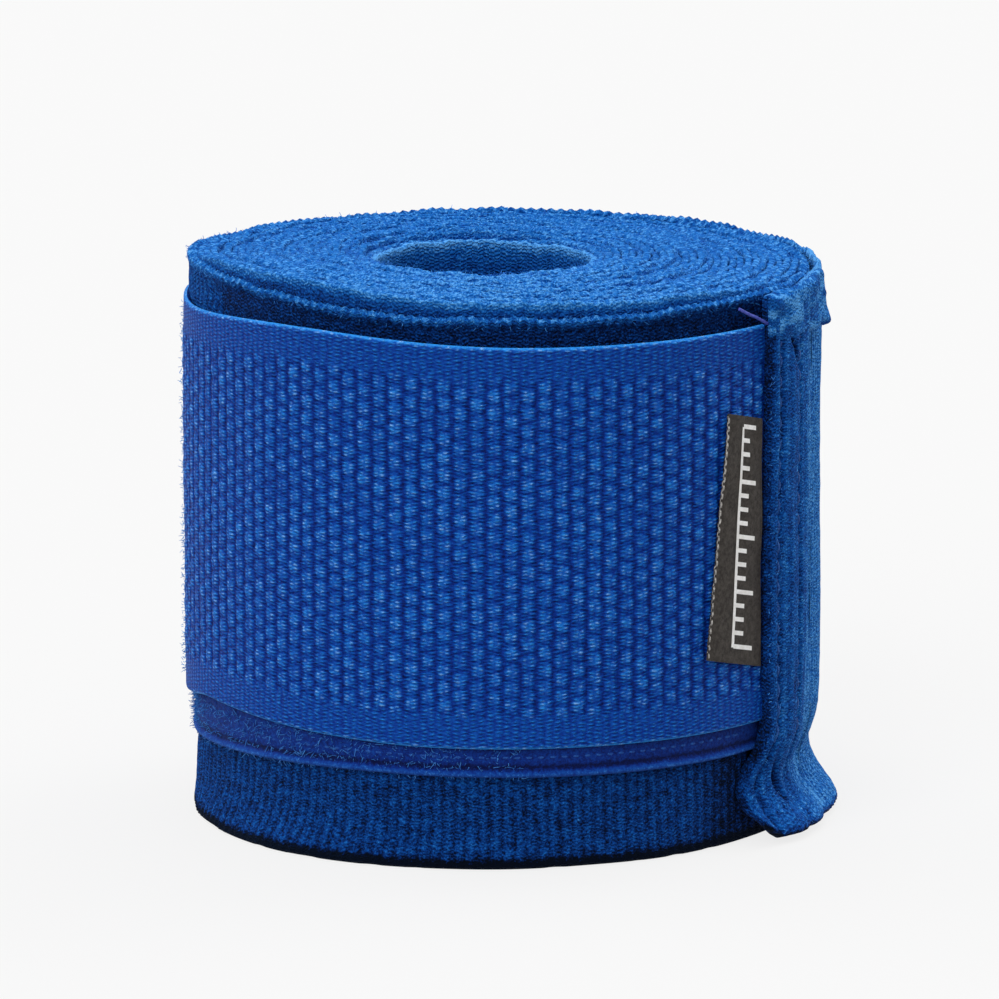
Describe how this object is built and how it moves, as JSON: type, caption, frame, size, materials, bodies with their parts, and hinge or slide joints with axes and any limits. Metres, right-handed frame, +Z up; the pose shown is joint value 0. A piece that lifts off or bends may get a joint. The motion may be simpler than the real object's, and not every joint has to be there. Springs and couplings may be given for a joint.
{
  "type": "hand wrap",
  "caption": "Rolled boxing hand wrap: a long elastic cotton band wound round an open core, closed by a hook strip on a loop strip, with a stitched hem, satin tab and thumb loop.",
  "frame": {"origin": "middle of the underside of the roll, on the surface that it stands on", "axes": "+Z up along the axis of the roll; the front, where the hook strip closes, faces -Y, and the hem is on the right, towards +X"},
  "size_m": [0.059, 0.0564, 0.0512],
  "materials": {
    "cotton_band": "matte",
    "hook_tape": "satin",
    "loop_tape": "matte",
    "satin_label": "satin",
    "sewing_thread": "satin",
    "loose_thread": "satin"
  },
  "bodies": {
    "roll": {"band_windings": "cotton_band", "thumb_loop": "cotton_band", "thumb_loop_tack": "sewing_thread", "loop_strip": "loop_tape", "loop_strip_stitching": "sewing_thread"},
    "outer_turn_1": {"band_outer_turn_1": "cotton_band"},
    "outer_turn_2": {"band_outer_turn_2": "cotton_band"},
    "outer_turn_3": {"band_outer_turn_3": "cotton_band"},
    "outer_turn_4": {"band_outer_turn_4": "cotton_band"},
    "outer_turn_5": {"band_outer_turn_5": "cotton_band"},
    "outer_turn_6": {"band_outer_turn_6": "cotton_band"},
    "hem": {"end_hem": "cotton_band", "hem_stitching_1": "sewing_thread", "hem_stitching_2": "sewing_thread", "loose_thread_end": "loose_thread"},
    "hook_strip_piece_1": {"hook_strip_1": "hook_tape"},
    "hook_strip_piece_2": {"hook_strip_2": "hook_tape"},
    "hook_strip_piece_3": {"hook_strip_3": "hook_tape"},
    "hook_strip_piece_4": {"hook_strip_4": "hook_tape"},
    "hook_strip_piece_5": {"hook_strip_5": "hook_tape"},
    "hook_strip_piece_6": {"hook_strip_6": "hook_tape"},
    "hook_strip_piece_7": {"hook_strip_7": "hook_tape"},
    "hook_strip_piece_8": {"hook_strip_8": "hook_tape"},
    "hook_strip_piece_9": {"hook_strip_9": "hook_tape"},
    "hook_strip_piece_10": {"hook_strip_10": "hook_tape"},
    "label": {"label_tab": "satin_label"}
  },
  "joints": [
    {"name": "wrap_end_opening", "type": "hinge", "parent": "roll", "child": "outer_turn_1", "pos_m": [0.00329, 0.0282, 0], "axis": [0, 0, 1], "range_deg": [0, 15]},
    {"name": "outer_turn_2_bend", "type": "hinge", "parent": "outer_turn_1", "child": "outer_turn_2", "pos_m": [0.01031, 0.02628, 0], "axis": [0, 0, 1], "range_deg": [0, 15]},
    {"name": "outer_turn_3_bend", "type": "hinge", "parent": "outer_turn_2", "child": "outer_turn_3", "pos_m": [0.01661, 0.0226, 0], "axis": [0, 0, 1], "range_deg": [0, 15]},
    {"name": "outer_turn_4_bend", "type": "hinge", "parent": "outer_turn_3", "child": "outer_turn_4", "pos_m": [0.02178, 0.01743, 0], "axis": [0, 0, 1], "range_deg": [0, 15]},
    {"name": "outer_turn_5_bend", "type": "hinge", "parent": "outer_turn_4", "child": "outer_turn_5", "pos_m": [0.02578, 0.01123, 0], "axis": [0, 0, 1], "range_deg": [0, 15]},
    {"name": "outer_turn_6_bend", "type": "hinge", "parent": "outer_turn_5", "child": "outer_turn_6", "pos_m": [0.02877, 0.00418, 0], "axis": [0, 0, 1], "range_deg": [0, 15]},
    {"name": "hem_bend", "type": "hinge", "parent": "outer_turn_6", "child": "hem", "pos_m": [0.0295, -0.00365, 0], "axis": [0, 0, 1], "range_deg": [0, 22.5]},
    {"name": "hook_strip_piece_1_bend", "type": "hinge", "parent": "hem", "child": "hook_strip_piece_1", "pos_m": [0.02218, -0.01721, 0], "axis": [0, 0, 1], "range_deg": [0, 22.5]},
    {"name": "hook_strip_piece_2_bend", "type": "hinge", "parent": "hook_strip_piece_1", "child": "hook_strip_piece_2", "pos_m": [0.01682, -0.02251, 0], "axis": [0, 0, 1], "range_deg": [0, 15]},
    {"name": "hook_strip_piece_3_bend", "type": "hinge", "parent": "hook_strip_piece_2", "child": "hook_strip_piece_3", "pos_m": [0.01027, -0.02625, 0], "axis": [0, 0, 1], "range_deg": [0, 15]},
    {"name": "hook_strip_piece_4_bend", "type": "hinge", "parent": "hook_strip_piece_3", "child": "hook_strip_piece_4", "pos_m": [0.00296, -0.02817, 0], "axis": [0, 0, 1], "range_deg": [0, 15]},
    {"name": "hook_strip_piece_5_bend", "type": "hinge", "parent": "hook_strip_piece_4", "child": "hook_strip_piece_5", "pos_m": [-0.0046, -0.02813, 0], "axis": [0, 0, 1], "range_deg": [0, 15]},
    {"name": "hook_strip_piece_6_bend", "type": "hinge", "parent": "hook_strip_piece_5", "child": "hook_strip_piece_6", "pos_m": [-0.0119, -0.02613, 0], "axis": [0, 0, 1], "range_deg": [0, 15]},
    {"name": "hook_strip_piece_7_bend", "type": "hinge", "parent": "hook_strip_piece_6", "child": "hook_strip_piece_7", "pos_m": [-0.01844, -0.02231, 0], "axis": [0, 0, 1], "range_deg": [0, 15]},
    {"name": "hook_strip_piece_8_bend", "type": "hinge", "parent": "hook_strip_piece_7", "child": "hook_strip_piece_8", "pos_m": [-0.02378, -0.01692, 0], "axis": [0, 0, 1], "range_deg": [0, 15]},
    {"name": "hook_strip_piece_9_bend", "type": "hinge", "parent": "hook_strip_piece_8", "child": "hook_strip_piece_9", "pos_m": [-0.02754, -0.01033, 0], "axis": [0, 0, 1], "range_deg": [0, 15]},
    {"name": "hook_strip_piece_10_bend", "type": "hinge", "parent": "hook_strip_piece_9", "child": "hook_strip_piece_10", "pos_m": [-0.02946, -0.00298, 0], "axis": [0, 0, 1], "range_deg": [0, 15]},
    {"name": "label_flip", "type": "hinge", "parent": "hook_strip_piece_1", "child": "label", "pos_m": [0.02214, -0.01822, 0], "axis": [0, 0, 1], "range_deg": [0, 110]}
  ],
  "couplings": [
    {"joint": "outer_turn_2_bend", "follows": "wrap_end_opening", "ratio": 1},
    {"joint": "outer_turn_3_bend", "follows": "wrap_end_opening", "ratio": 1},
    {"joint": "outer_turn_4_bend", "follows": "wrap_end_opening", "ratio": 1},
    {"joint": "outer_turn_5_bend", "follows": "wrap_end_opening", "ratio": 1},
    {"joint": "outer_turn_6_bend", "follows": "wrap_end_opening", "ratio": 1},
    {"joint": "hem_bend", "follows": "wrap_end_opening", "ratio": 1.5},
    {"joint": "hook_strip_piece_1_bend", "follows": "wrap_end_opening", "ratio": 1.5},
    {"joint": "hook_strip_piece_2_bend", "follows": "wrap_end_opening", "ratio": 1},
    {"joint": "hook_strip_piece_3_bend", "follows": "wrap_end_opening", "ratio": 1},
    {"joint": "hook_strip_piece_4_bend", "follows": "wrap_end_opening", "ratio": 1},
    {"joint": "hook_strip_piece_5_bend", "follows": "wrap_end_opening", "ratio": 1},
    {"joint": "hook_strip_piece_6_bend", "follows": "wrap_end_opening", "ratio": 1},
    {"joint": "hook_strip_piece_7_bend", "follows": "wrap_end_opening", "ratio": 1},
    {"joint": "hook_strip_piece_8_bend", "follows": "wrap_end_opening", "ratio": 1},
    {"joint": "hook_strip_piece_9_bend", "follows": "wrap_end_opening", "ratio": 1},
    {"joint": "hook_strip_piece_10_bend", "follows": "wrap_end_opening", "ratio": 1}
  ]
}
